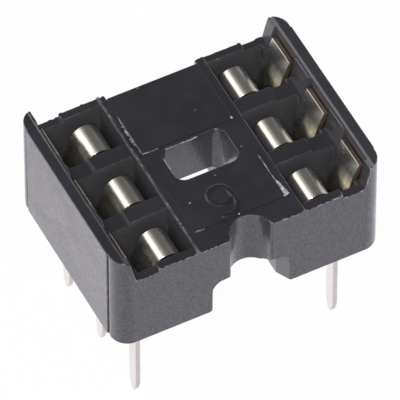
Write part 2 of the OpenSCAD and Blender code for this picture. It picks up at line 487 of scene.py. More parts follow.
# Painted shade: darker bronze for the second row's sheared edges, which lie in the shade of the side wall.
SHADED_BRONZE = StripMetal(
    "dull_bronze", (0.12, 0.088, 0.068, 1.0), (0.05, 0.036, 0.027, 1.0), (0.4, 0.55), metallic=0.8,
)
BARE_BRONZE = StripMetal(
    "bare_bronze", (0.3, 0.215, 0.16, 1.0), (0.09, 0.063, 0.045, 1.0), (0.4, 0.55), metallic=0.8,
)


# Mesh helpers


def clamped(value: float) -> float:
    """Keeps a value between nothing and one."""
    return min(1.0, max(0.0, value))


def bevel(bm: BMesh, edges: list[BMEdge], width: float, segments: int = 2) -> list[BMFace]:
    """Rounds edges of a mesh.

    Args:
        bm: The mesh.
        edges: The edges.
        width: How far the rounding reaches from an edge.
        segments: How many faces it has across.

    Returns:
        The faces of the rounding.
    """
    made = bmesh.ops.bevel(
        bm, geom=edges, offset=width, offset_type="OFFSET", segments=segments, profile=0.5, affect="EDGES",
        clamp_overlap=False,
    )
    return made["faces"]


def cut(bm: BMesh, parts: list[BMVert | BMEdge | BMFace], across: Triple, distance: float) -> None:
    """Divides faces, given with their edges and points, along a plane at a distance in a direction."""
    bmesh.ops.bisect_plane(bm, geom=parts, dist=WELD, plane_co=Vector(across) * distance, plane_no=across)


def loft(bm: BMesh, rings: list[list[BMVert]]) -> None:
    """Joins rings of points into a solid that is closed at both ends.

    Args:
        bm: The mesh.
        rings: The rings in their order, all with as many points.
    """
    count = len(rings[0])
    for near, far in zip(rings, rings[1:]):
        for a in range(count):
            b = (a + 1) % count
            bm.faces.new((near[a], near[b], far[b], far[a]))
    bm.faces.new(reversed(rings[0]))
    bm.faces.new(rings[-1])


def corner_normals(mesh: Mesh, smooth_deg: float) -> list[Vector]:
    """Normals that keep broad faces flat and turn only over the small faces of a rounding.

    Args:
        mesh: The mesh, in millimetres.
        smooth_deg: Faces that meet at a sharper angle than this share no normal.

    Returns:
        One normal for each corner of each face, in the mesh's order.
    """
    limit = math.cos(math.radians(smooth_deg))
    nothing = 1e-12
    around: dict[int, list[MeshPolygon]] = {}
    for face in mesh.polygons:
        for vert in face.vertices:
            around.setdefault(vert, []).append(face)
    normals = []
    for face in mesh.polygons:
        for vert in face.vertices:
            total = Vector()
            for other in around[vert]:
                if other.normal.dot(face.normal) > limit:
                    total += other.normal * other.area**2
            normals.append(total.normalized() if total.length > nothing else face.normal.copy())
    return normals


def finish_mesh(bm: BMesh, name: str, materials: list[Material], smooth_deg: float = SMOOTH_DEG) -> Object:
    """Turns a mesh drawn in millimetres into an object in metres, smooth up to an angle.

    Args:
        bm: The mesh, which is freed.
        name: The object's name.
        materials: Its material slots.
        smooth_deg: Edges sharper than this stay sharp.

    Returns:
        The new object, linked to the scene.
    """
    bmesh.ops.recalc_face_normals(bm, faces=bm.faces)
    mesh = bpy.data.meshes.new(name)
    bm.to_mesh(mesh)
    bm.free()
    mesh.shade_smooth()
    mesh.normals_split_custom_set(corner_normals(mesh, smooth_deg))
    mesh.transform(Matrix.Scale(MM, 4))
    for material in materials:
        mesh.materials.append(material)
    piece = bpy.data.objects.new(name, mesh)
    bpy.context.scene.collection.objects.link(piece)
    return piece


def settle(piece: Object, body: str, slot: str, *replaced: str) -> None:
    """Rides a piece on its body, hides the nodes that it stands for and reports it.

    Args:
        piece: The piece.
        body: The body that it moves with.
        slot: The material slot of its finish; not used.
        replaced: The nodes that it stands for.
    """
    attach(piece, body)
    if replaced:
        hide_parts(*replaced)
    LOG.info("piece %s rides on %s, %d faces", piece.name, body, len(piece.data.polygons))


@dataclass(frozen=True)
class Station:
    """A place on the strip's middle line, in millimetres: distance outside the lead line, height and heading."""

    u: float
    z: float
    heading: float

    def normal(self) -> Vector:
        """Unit vector to the left of the heading."""
        return Vector((-math.sin(self.heading), 0.0, math.cos(self.heading)))


@dataclass
class BendPath:
    """Middle line of a folded strip, drawn step by step like a press would fold it."""

    u: float
    z: float
    heading_deg: float
    step_deg: float = 7.5
    stations: list[Station] = field(default_factory=list)

    def __post_init__(self) -> None:
        """Marks the starting station."""
        self._mark()

    def _mark(self) -> None:
        """Notes the place where the line has come to."""
        self.stations.append(Station(self.u, self.z, math.radians(self.heading_deg)))

    def _advance(self, length: float) -> None:
        """Moves on along the heading."""
        self.u += length * math.cos(math.radians(self.heading_deg))
        self.z += length * math.sin(math.radians(self.heading_deg))

    def last(self) -> int:
        """Index of the last station."""
        return len(self.stations) - 1

    def ahead(self, length: float) -> "BendPath":
        """Goes straight on.

        Args:
            length: How far.

        Returns:
            This path.
        """
        self._advance(length)
        self._mark()
        return self

    def bend(self, radius: float, turn_deg: float) -> "BendPath":
        """Bends to the left by a positive angle, or to the right by a negative one.

        Args:
            radius: Radius of the strip's middle line.
            turn_deg: Angle of the bend.

        Returns:
            This path.
        """
        steps = max(2, round(abs(turn_deg) / self.step_deg))
        share = turn_deg / steps
        chord = 2.0 * radius * math.sin(math.radians(abs(share)) / 2.0)
        for _ in range(steps):
            self.heading_deg += share / 2.0
            self._advance(chord)
            self.heading_deg += share / 2.0
            self._mark()
        return self


@dataclass
class StripSheet:
    """Sheet of quads on a strip's middle surface, thickened into a closed solid with rounded edges.

    Its sizes are the strip's thickness, the width of the rounding and the height up to which edges are plated.
    """

    thickness: float
    edge_r: float
    plated_below: float
    _index: dict[tuple[int, int, int], int] = field(init=False, default_factory=dict)
    _points: list[tuple[Vector, Vector]] = field(init=False, default_factory=list)
    _quads: list[tuple[int, ...]] = field(init=False, default_factory=list)
    _seams: set[frozenset[int]] = field(init=False, default_factory=set)

    def _point(self, station: Station, y: float) -> int:
        """Finds or adds the sheet's point at a station.

        Args:
            station: The station.
            y: The place across the strip.

        Returns:
            The point's index.
        """
        key = (round(station.u / WELD), round(y / WELD), round(station.z / WELD))
        if key not in self._index:
            self._index[key] = len(self._points)
            self._points.append((Vector((station.u, y, station.z)), station.normal()))
        return self._index[key]

    def add(self, near: Station, far: Station, near_span: Pair, far_span: Pair) -> None:
        """Adds one quad between two stations, from its two places across the strip at each."""
        corners = ((near, near_span[0]), (near, near_span[1]), (far, far_span[1]), (far, far_span[0]))
        self._quads.append(tuple(self._point(station, y) for station, y in corners))

    def seam(self, station: Station, columns: list[float]) -> None:
        """Marks the square end that meets the other half of the strip, which stays unrounded."""
        ends = [self._point(station, y) for y in columns]
        self._seams.update(frozenset(pair) for pair in zip(ends, ends[1:]))

    def solid(self, place: Matrix) -> BMesh:
        """Thickens the sheet.

        Args:
            place: Takes the strip's own frame to the socket's, in millimetres.

        Returns:
            The closed solid, with its faces and its bare and plated edges marked.
        """
        bm = bmesh.new()
        half = self.thickness / 2.0
        front = [bm.verts.new(place @ (p + n * half)) for p, n in self._points]
        back = [bm.verts.new(place @ (p - n * half)) for p, n in self._points]
        sides: dict[frozenset[int], list[tuple[int, int]]] = {}
        for quad in self._quads:
            bm.faces.new([front[i] for i in quad])
            bm.faces.new([back[i] for i in reversed(quad)])
            for a, b in zip(quad, quad[1:] + quad[:1]):
                sides.setdefault(frozenset((a, b)), []).append((a, b))
        rounded = []
        for key, uses in sides.items():
            if len(uses) > 1:
                continue
            a, b = uses[0]
            rim = bm.faces.new((front[b], front[a], back[a], back[b]))
            if key in self._seams:
                continue
            middle = (self._points[a][0].z + self._points[b][0].z) / 2.0
            rim.material_index = StripPart.PLATED_EDGE if middle < self.plated_below else StripPart.BARE_EDGE
            rounded += [e for e in rim.edges if frozenset(e.verts) in ({front[a], front[b]}, {back[a], back[b]})]
        bmesh.ops.recalc_face_normals(bm, faces=bm.faces)
        bevel(bm, rounded, self.edge_r)
        return bm


# Sub-assemblies


@dataclass
class Contact:
    """One stamped contact: a fixed part with tail, foot, blade, leg and arch, and a sprung wiper."""

    PAINTED_SHADE = "dulled_zone"
    PAINTED_REFLECTION = "flashed_zone"

    number: int
    row: Row
    y: float
    row_x: float = 3.81
    strip_t: float = 0.2
    strip_w: float = 1.28
    base_w: float = 1.84
    lance_w: float = 0.7
    lance_top: float = 2.2
    floor_t: float = 0.5
    foot_r: float = 0.15
    blade_top: float = 3.88
    blade_offset: float = 0.1
    blade_lean: float = 22.0
    blade_bend_r: float = 3.8
    blade_bend_z: float = 1.9
    arch_z: float = 2.6
    arch_r: float = 0.56
    arch_inset: float = 0.97
    wiper_lean: float = 15.0
    wiper_r: float = 0.45
    wiper_curl: float = 45.0
    mouth_gap: float = 0.14
    tail_l: float = 4.25
    tail_w: float = 0.46
    tail_tip_w: float = 0.16
    tail_tip_l: float = 0.55
    tail_tip_steps: int = 6
    tail_tip_power: float = 1.6
    jog_h: float = 0.45
    edge_r: float = 0.018
    # Place and size of the painted reflection spot, and how the painted shade around it fades and spares the low
    # rear corner.
    reflection_place: Pair = (-0.5, 2.95)
    reflection_r: float = 0.38
    shade_gap: float = 0.5
    shade_fade: float = 0.3
    unshaded_corner: Pair = (-0.1, 3.3)
    unshaded_fade: Pair = (0.5, 0.4)

    def build(self, finishes: list[Material]) -> None:
        """Builds the fixed part and the wiper in place of their nodes.

        Args:
            finishes: Finishes of the strip's faces, its bare edges, its plated edges and the tail's faces.
        """
        for kind, sheet, body in (
            ("contact", self._fixed_sheet(), SOCKET_BODY),
            ("wiper", self._wiper_sheet(), f"wiper_{self.number}"),
        ):
            node = f"{kind}_{self.number}"
            bm = sheet.solid(self._place())
            self._mark_blade(bm)
            for face in bm.faces:
                if face.material_index == StripPart.FACE and face.calc_center_median().z < 0.0:
                    face.material_index = StripPart.TAIL_FACE
            settle(finish_mesh(bm, f"{node}_strip", finishes), body, METAL_SLOT, node)

    def _mark_blade(self, bm: BMesh) -> None:
        """Marks a painted reflection, a pale yellow spot low on the blade, and painted shade on the face above it.

        Args:
            bm: The contact's mesh.
        """
        for layer in (self.PAINTED_SHADE, self.PAINTED_REFLECTION):
            bm.verts.layers.float.new(layer)
        shaded, flash = (bm.verts.layers.float[layer] for layer in (self.PAINTED_SHADE, self.PAINTED_REFLECTION))
        for vert in bm.verts:
            x, y, z = vert.co
            if abs(x) <= self.row_x:
                continue
            across = math.copysign(y - self.y, x * (y - self.y))
            far = math.hypot(across - self.reflection_place[0], z - self.reflection_place[1]) / self.reflection_r
            # Painted shade is kept off the low rear corner, which already lies in shade.
            unshaded = clamped((across - self.unshaded_corner[0]) / self.unshaded_fade[0])
            unshaded *= clamped((self.unshaded_corner[1] - z) / self.unshaded_fade[1])
            top = clamped((self.blade_top - z) / self.shade_fade)
            # Painted reflection in a round spot; painted shade elsewhere below the blade's top.
            vert[flash] = clamped(1.0 - far * far)
            vert[shaded] = min(clamped(far - self.shade_gap), top, 1.0 - unshaded)

    def _place(self) -> Matrix:
        """Takes the contact's own frame, with its origin on the lead line, to its cell."""
        turn = Matrix.Rotation(0.0 if self.row is Row.FIRST else math.pi, 4, "Z")
        return Matrix.Translation((0.0, self.y, 0.0)) @ turn @ Matrix.Translation((self.row_x, 0.0, 0.0))

    def _new_sheet(self) -> StripSheet:
        """Starts a sheet of this contact's strip, plated up to where the tail was lanced."""
        return StripSheet(self.strip_t, self.edge_r, self.floor_t + self.jog_h)

    def _columns(self) -> list[float]:
        """Places across the strip where its width changes."""
        half = [self.base_w / 2, self.strip_w / 2, self.lance_w / 2, self.tail_w / 2]
        return [-y for y in half] + half[::-1]

    def _lay(self, sheet: StripSheet, stations: list[Station], zone: Zone) -> None:
        """Lays the columns of a zone along part of a path.

        Args:
            sheet: The sheet that gets them.
            stations: That part of the path.
            zone: The zone.
        """
        columns = self._columns()
        for near, far in zip(stations, stations[1:]):
            for column in zone.value:
                span = (columns[column], columns[column + 1])
                sheet.add(near, far, span, span)

    def _fixed_sheet(self) -> StripSheet:
        """Draws the blade, foot, leg, arch and tail.

        Returns:
            Their sheet.
        """
        sheet = self._new_sheet()
        half = self.strip_t / 2
        lean = math.radians(self.blade_lean)
        bend_u = self.blade_offset + self.blade_bend_r
        lean_u = bend_u - (self.blade_bend_r - half) * math.cos(lean)
        lean_z = self.blade_bend_z + (self.blade_bend_r - half) * math.sin(lean)
        lean_l = (self.blade_top - self.blade_bend_z - self.blade_bend_r * math.sin(lean)) / math.cos(lean)
        jog_top = self.floor_t + self.jog_h
        foot_z = self.floor_t + self.strip_t + self.foot_r
        leg_u = half - self.arch_inset - self.arch_r
        path = BendPath(lean_u + lean_l * math.sin(lean), lean_z + lean_l * math.cos(lean), -90.0 - self.blade_lean)
        path.ahead(lean_l / 2).ahead(lean_l / 2).bend(self.blade_bend_r - half, self.blade_lean)
        jog = path.ahead(self.blade_bend_z - jog_top).last()
        base = path.ahead(jog_top - foot_z).bend(self.foot_r + half, -90.0).last()
        base_end = path.ahead(self.blade_offset - leg_u - half - 2 * self.foot_r).last()
        leg = path.bend(self.foot_r + half, -90.0).ahead(self.lance_top - foot_z).last()
        end = path.ahead(self.arch_z - self.lance_top).bend(self.arch_r - half, self.wiper_lean - 180.0).last()
        for first, last, zone in (
            (0, jog, Zone.FULL), (jog, base, Zone.RAILS), (base, base_end, Zone.EARS),
            (base_end, leg, Zone.RAILS), (leg, end, Zone.FULL),
        ):
            self._lay(sheet, path.stations[first : last + 1], zone)
        self._lay_tail(sheet, path.stations[jog])
        sheet.seam(path.stations[end], self._columns()[1:-1])
        return sheet

    def _lay_tail(self, sheet: StripSheet, top: Station) -> None:
        """Lays the tail from where it was lanced, through its jog to its tapered tip.

        Args:
            sheet: The sheet that gets it.
            top: The station where it was lanced.
        """
        jog_deg = 2 * math.degrees(math.atan2(top.u, self.jog_h))
        jog_r = self.jog_h / 2 / math.sin(math.radians(jog_deg))
        tail = BendPath(top.u, top.z, -90.0)
        tail.bend(jog_r, -jog_deg).bend(jog_r, jog_deg)
        tail.ahead(self.floor_t + self.tail_l - self.tail_tip_l)
        widths = [self.tail_w] * len(tail.stations)
        for i in range(1, self.tail_tip_steps + 1):
            tail.ahead(self.tail_tip_l / self.tail_tip_steps)
            share = (i / self.tail_tip_steps) ** self.tail_tip_power
            widths.append(self.tail_w - (self.tail_w - self.tail_tip_w) * share)
        for near, far, wide, narrow in zip(tail.stations, tail.stations[1:], widths, widths[1:]):
            sheet.add(near, far, (-wide / 2, wide / 2), (-narrow / 2, narrow / 2))

    def _wiper_sheet(self) -> StripSheet:
        """Draws the wiper, from the arch's end to its curl.

        Returns:
            Its sheet.
        """
        sheet = self._new_sheet()
        half = self.strip_t / 2
        lean = math.radians(self.wiper_lean)
        reach = self.blade_offset - self.mouth_gap - self.wiper_r + self.arch_inset
        length = (reach - (self.arch_r - self.wiper_r) * math.cos(lean)) / math.sin(lean)
        mid_r = self.arch_r - half
        start_u, start_z = mid_r * math.cos(lean) - self.arch_inset, self.arch_z + mid_r * math.sin(lean)
        path = BendPath(start_u, start_z, self.wiper_lean - 90.0)
        path.ahead(length).bend(self.wiper_r - half, -self.wiper_curl)
        self._lay(sheet, path.stations, Zone.FULL)
        sheet.seam(path.stations[0], self._columns()[1:-1])
        return sheet


@dataclass
class Housing:
    """The moulded housing, drawn from its node with its seams opened and its edges rounded and chipped.

    A face is level, steep or upright by how far up its normal points. A wear is how pale an edge is painted, for
    rubbing and painted highlight together, and a share is how much is left of a height or how much painted light a
    wall gets.
    """

    WORN_LIT_EDGE = "moulded_edge"
    PAINTED_LIGHT_WALL = "matt_wall"
    GRAIN = "grained_wall"

    node: str = "housing"
    flat_deg: float = 0.5
    sliver: float = 1e-3
    edge_r: float = 0.034
    edge_wear_and_highlight: float = 0.1
    sharp_deg: float = 25.0
    soft_r: float = 0.1
    soft_segments: int = 4
    level: float = 0.9
    steep: float = 0.3
    upright: float = 0.15
    end_y: float = 3.81
    end_wear_and_highlight: Pair = (0.5, 0.85)
    mouth_half: float = 1.5
    mouth_back: float = 2.6
    mouth_top: float = 1.5
    mouth_facing: float = 0.5
    mouth_share: float = 1.0
    groove_half: float = 0.75
    groove_rim_half: float = 0.6
    groove_rim_above: float = 3.4
    groove_rim_near: float = 0.02
    rib_top: float = 3.54
    rib_near: float = 0.004
    rib_wear_and_highlight: float = 0.48
    rib_share: float = 0.1
    rib_middle: float = 1.96
    rim_x: float = 4.5
    rim_share: float = 0.14
    rim_edge: float = 4.647
    rim_bevel: float = 0.058
    panel_half: float = 1.76
    panel_foot: float = 3.48
    panel_skin: float = 0.002
    panel_share: float = 0.5
    crisp_share: float = 0.9
    seam: Pair = (5.05, 3.03)
    seam_depth: float = 0.04
    seam_waver: Pair = (0.75, 0.5)
    seam_scale: float = 9.0
    seam_fade: float = 0.4
    chip_span: Pair = (3.2, 4.0)
    chip_step: float = 0.08
    chip_depths: Pair = (0.075, 0.035)
    chip_strip: float = 0.16
    chip_wear: float = 0.5
    chip_waves: tuple[Pair, ...] = ((0.35, 2.3), (0.45, 11.0))
    cell_from: float = 2.04
    cell_to: float = 4.75
    cell_below: float = 4.26
    cell_end: float = 3.55
    cell_share: float = 0.7

    def build(self, plastic: Material, frame: dict) -> None:
        """Builds the housing in place of its node.

        Args:
            plastic: The moulding's finish.
            frame: The loaded frame.
        """
        bm = bmesh.new()
        bm.from_mesh(frame["nodes"][self.node].data)
        bmesh.ops.scale(bm, vec=Vector(EVEN) / MM, verts=bm.verts)
        bmesh.ops.remove_doubles(bm, verts=bm.verts, dist=WELD)
        bmesh.ops.dissolve_limit(bm, angle_limit=math.radians(self.flat_deg), verts=bm.verts, edges=bm.edges)
        for layer in (self.WORN_LIT_EDGE, self.PAINTED_LIGHT_WALL, self.GRAIN):
            bm.faces.layers.float.new(layer)
        top = max(vert.co.z for vert in bm.verts)
        self._bevel_rims(bm, top)
        self._open_seams(bm, top)
        self._soften(bm)
        self._chip_ends(bm)
        self._round_edges(bm)
        self._sink_panels(bm)
        bmesh.ops.dissolve_degenerate(bm, dist=self.sliver, edges=bm.edges)
        self._mark_walls(bm)
        for face in bm.faces:
            face.material_index = 0
        for vert in bm.verts:
            vert.co.z = min(vert.co.z, top)
        settle(finish_mesh(bm, "housing_moulding", [plastic]), SOCKET_BODY, PLASTIC_SLOT, self.node)

    def _bevel_rims(self, bm: BMesh, top: float) -> None:
        """Bevels the inner edges of the side walls' tops from end to end, and leaves the posts' tops nearly flat.

        Args:
            bm: The housing's mesh.
            top: Height of the walls' tops.
        """
        for side in (-1.0, 1.0):
            faces = [face for face in bm.faces if all(vert.co.z > top - self.sliver for vert in face.verts)]
            parts = {part for face in faces for part in (*face.verts, *face.edges, face)}
            cut(bm, list(parts), (1.0, 0.0, 0.0), side * (self.rim_edge + self.rim_bevel))
        for vert in bm.verts:
            if vert.co.z > top - self.sliver and abs(vert.co.x) < self.rim_edge + self.rim_bevel / 2:
                vert.co.z -= self.rim_bevel

    def _open_seams(self, bm: BMesh, top: float) -> None:
        """Deepens the upright seams at the ends of the flat sides, unevenly and fading out under the top.

        Args:
            bm: The housing's mesh.
            top: Height of the walls' tops.
        """
        edges = [edge for edge in bm.edges if all(self._on_seam(vert.co) for vert in edge.verts)]
        ends = [vert for edge in edges for vert in edge.verts]
        least, waver = self.seam_waver
        for vert in ends + self._split(edges):
            depth = self.seam_depth * (least + waver * noise.noise(vert.co * self.seam_scale))
            vert.co.x -= math.copysign(depth * min(1.0, (top - vert.co.z) / self.seam_fade), vert.co.x)

    def _on_seam(self, place: Vector) -> bool:
        """Whether a point is in the corner of one of the four seams."""
        return abs(abs(place.x) - self.seam[0]) < TOUCH and abs(abs(place.y) - self.seam[1]) < TOUCH

    def _split(self, edges: list[BMEdge]) -> list[BMVert]:
        """Divides edges into short steps.

        Args:
            edges: Edges to divide.

        Returns:
            The points between the steps.
        """
        points = []
        for edge in edges:
            start = edge.verts[0]
            steps = round(edge.calc_length() / self.chip_step)
            for left in range(steps, 1, -1):
                start = bmesh.utils.edge_split(edge, start, 1.0 / left)[1]
                points.append(start)
        return points

    def _soften(self, bm: BMesh) -> None:
        """Rounds the feet of the tunnel's mouths and the groove's upright edges, which the mould left soft."""
        edges = [e for e in bm.edges if e.is_manifold and e.is_convex and (self._at_mouth(e) or self._at_groove(e))]
        bevel(bm, edges, self.soft_r, self.soft_segments)

    def _at_mouth(self, edge: BMEdge) -> bool:
        """Whether an edge runs along the foot of a tunnel wall at a mouth."""
        near = all(v.co.z < TOUCH and abs(v.co.x) < self.mouth_half for v in edge.verts)
        return near and abs(edge.verts[0].co.y - edge.verts[1].co.y) > self.soft_r

    def _at_groove(self, edge: BMEdge) -> bool:
        """Whether an edge runs up the front end beside the groove."""
        front = all(v.co.y < TOUCH - self.end_y and abs(abs(v.co.x) - self.groove_half) < TOUCH for v in edge.verts)
        return front and abs(edge.verts[0].co.z - edge.verts[1].co.z) > self.soft_r

    def _chip_ends(self, bm: BMesh) -> None:
        """Breaks up the upper edges of both ends, where the mould's halves met.

        Args:
            bm: The housing's mesh.
        """
        for side in (-1.0, 1.0):
            parts = bm.verts[:] + bm.edges[:] + bm.faces[:]
            cut(bm, parts, (0.0, 1.0, 0.0), side * (self.end_y - self.chip_strip))
        edges = [
            e for e in bm.edges
            if e.is_manifold and e.is_convex and e.calc_length() > 2 * self.chip_step
            and all(abs(v.co.y) > self.end_y - TOUCH for v in e.verts)
            and all(self.chip_span[0] < v.co.z < self.chip_span[1] for v in e.verts)
            and abs(e.verts[0].co.x - e.verts[1].co.x) > self.chip_step
        ]
        for vert in self._split(edges):
            wear = sum((depth * noise.noise(vert.co * scale) for depth, scale in self.chip_waves), self.chip_wear)
            vert.co.z -= self.chip_depths[vert.co.y > 0.0] * max(0.0, wear)

    def _round_edges(self, bm: BMesh) -> None:
        """Rounds the convex edges and marks how pale each rounding and the left rib are painted, for rubbed wear and
        painted highlight together.

        Args:
            bm: The housing's mesh.
        """
        wear_and_highlight = bm.faces.layers.float[self.WORN_LIT_EDGE]
        sharp = math.radians(self.sharp_deg)
        edges = [
            e for e in bm.edges
            if e.is_manifold and e.is_convex and e.calc_face_angle() > sharp and not self._is_crisp(e)
        ]
        for face in bevel(bm, edges, self.edge_r):
            face[wear_and_highlight] = self.edge_wear_and_highlight
        for face in bm.faces:
            middle = face.calc_center_median()
            if face.normal.z > self.level and middle.x < 0.0 and abs(middle.z - self.rib_top) < self.rib_near:
                face[wear_and_highlight] = self.rib_wear_and_highlight
            elif self.panel_half < middle.x < self.rib_middle:
                face[wear_and_highlight] = 0.0
            elif face[wear_and_highlight] > 0.0 and middle.y < self.chip_strip - self.end_y and middle.z > self.chip_span[0]:
                face[wear_and_highlight] = self.end_wear_and_highlight[middle.x > 0.0]

    def _on_panel(self, place: Vector) -> bool:
        """Whether a point is on one of the deck's two panels."""
        return place.z > self.panel_foot + self.panel_skin and abs(place.x) < self.panel_half

    def _on_groove_rim(self, place: Vector) -> bool:
        """Whether a point lies on the back of the groove's upper rim."""
        near = abs(math.hypot(place.x, place.y + self.end_y) - self.groove_half) < self.groove_rim_near
        return near and abs(place.x) < self.groove_rim_half and place.z > self.groove_rim_above

    def _is_crisp(self, edge: BMEdge) -> bool:
        """Whether an edge stays sharp: the groove's rim, and a panel's edges but for those on the right.

        Args:
            edge: The edge.

        Returns:
            True for a sharp edge.
        """
        places = [vert.co for vert in edge.verts]
        if all(self._on_groove_rim(place) for place in places):
            return True
        left = min(place.x for place in places) < self.crisp_share * self.panel_half
        return left and all(self._on_panel(place) for place in places)

    def _sink_panels(self, bm: BMesh) -> None:
        """Lowers the panels and the right rib, which the mould left soft and shallow.

        Args:
            bm: The housing's mesh.
        """
        for vert in bm.verts:
            on_rib = vert.co.z > self.panel_foot and self.panel_half < vert.co.x < self.cell_from
            if on_rib or self._on_panel(vert.co):
                share = self.rib_share if on_rib else self.panel_share
                vert.co.z = self.panel_foot + (vert.co.z - self.panel_foot) * share

    def _mark_walls(self, bm: BMesh) -> None:
        """Marks painted light on the cells' upright walls, the right rim and the mouth's wall, and the grain on
        other upright walls.

        Args:
            bm: The housing's mesh.
        """
        lit_wall, grain = (bm.faces.layers.float[layer] for layer in (self.PAINTED_LIGHT_WALL, self.GRAIN))
        for face in bm.faces:
            middle = face.calc_center_median()
            # Painted light: the mouth's wall, the cells' upright walls and the right rim get a paler colour.
            mouth = self.groove_half < middle.x < self.mouth_half and middle.y < -self.mouth_back
            if mouth and face.normal.x < -self.mouth_facing and middle.z < self.mouth_top:
                face[lit_wall] = self.mouth_share
            inside = self.cell_from < abs(middle.x) < self.cell_to and 0.0 < middle.z < self.cell_below
            if inside and abs(middle.y) < self.cell_end:
                face[lit_wall] = self.cell_share if abs(face.normal.z) < self.upright else 0.0
            elif abs(face.normal.z) < self.steep:
                face[grain] = 1.0
            elif face.normal.z > self.level and middle.x > self.rim_x:
                face[lit_wall] = self.rim_share


@dataclass(frozen=True)
class FlashLine:
    """One ragged fin of flash on the deck, in millimetres, with the way that it leans."""

    start: Triple
    end: Triple
    lean: Triple
    height: Pair
    growing: bool = False


@dataclass
class MouldFlash:
    """Torn skin and crumbs of plastic that the mould left on the deck."""

    seed: int = 7
    smooth_deg: float = 35.0
    step: float = 0.06
    base: float = 0.05
    root: float = 0.03
    swell_power: float = 0.5
    torn_power: float = 1.5
    steady: float = 0.75
    sway: float = 0.5
    drift: float = 0.4
    lines: tuple[FlashLine, ...] = (
        FlashLine((-1.74, 2.75, 3.5), (-1.74, 0.9, 3.5), (-0.8, 0.0, 0.6), (0.03, 0.28)),
        FlashLine((-1.72, 0.88, 3.5), (-1.15, 0.87, 3.5), (0.0, -0.9, 0.4), (0.0, 0.06)),
        FlashLine((1.73, -1.9, 3.49), (1.73, -2.95, 3.49), (0.9, 0.0, 0.43), (0.01, 0.2), True),
        FlashLine((-1.7, -2.95, 3.5), (-1.36, -2.96, 3.5), (0.0, -0.5, 0.86), (0.08, 0.14)),
        FlashLine((1.74, -0.95, 3.5), (1.74, -1.9, 3.5), (0.5, 0.0, 0.86), (0.0, 0.02)),
        FlashLine((-0.95, 0.77, 3.45), (0.3, 0.77, 3.45), (0.0, -0.8, -0.6), (0.0, 0.06)),
        FlashLine((-1.19, -0.3, 3.45), (-1.19, 0.45, 3.45), (0.8, 0.0, -0.6), (0.0, 0.06)),
    )
    crumbs: tuple[Triple, ...] = (
        (-1.29, -1.77, 0.04), (-0.02, -2.94, 0.03), (1.68, 0.93, 0.05), (1.72, -2.93, 0.045), (0.75, 1.8, 0.025),
    )
    crumb_dents: float = 0.5
    crumb_scale: float = 1.3
    crumb_apart: float = 7.0
    crumb_flat: float = 0.6
    deck_top: float = 3.505

    def build(self, torn: Material) -> None:
        """Builds all fins and crumbs as one piece.

        Args:
            torn: Finish of torn plastic, pale partly from torn skin and partly from painted glints.
        """
        bm = bmesh.new()
        dice = random.Random(self.seed)
        for line in self.lines:
            self._fin(bm, line, dice)
        for x, y, size in self.crumbs:
            self._crumb(bm, Vector((x, y, self.deck_top)), size)
        settle(finish_mesh(bm, "moulding_flash", [torn], self.smooth_deg), SOCKET_BODY, PLASTIC_SLOT)

    def _fin(self, bm: BMesh, line: FlashLine, dice: random.Random) -> None:
        """Draws one fin as a row of three-sided sections, closed at both ends.

        Args:
            bm: The mesh that gets it.
            line: The fin's ends, lean and heights.
            dice: Source of its raggedness.
        """
        first, last = Vector(line.start), Vector(line.end)
        along = (last - first).normalized()
        across = along.cross(UP) * self.base / 2
        low, high = line.height
        steps = max(3, round((last - first).length / self.step))
        sections = []
        for i in range(steps + 1):
            share = i / steps
            if line.growing:
                torn = share * (self.steady + (1.0 - self.steady) * dice.random())
            else:
                torn = math.sin(math.pi * share) ** self.swell_power * dice.random() ** self.torn_power
            foot = first.lerp(last, share) + across * dice.uniform(-self.sway, self.sway)
            tip = foot + Vector(line.lean) * (low + (high - low) * torn)
            tip += along * dice.uniform(-self.drift, self.drift) * self.step
            root = foot - UP * self.root
            sections.append([bm.verts.new(place) for place in (root - across, root + across, tip)])
        loft(bm, sections)

    def _crumb(self, bm: BMesh, place: Vector, size: float) -> None:
        """Draws one crumb as an uneven lump that sits in the deck.

        Args:
            bm: The mesh that gets it.
            place: Point on the deck.
            size: Its radius.
        """
        for vert in bmesh.ops.create_icosphere(bm, subdivisions=2, radius=size)["verts"]:
            dent = noise.noise(vert.co / size * self.crumb_scale + place * self.crumb_apart)
            vert.co *= 1.0 + self.crumb_dents * dent
            vert.co.z *= self.crumb_flat
            vert.co += place


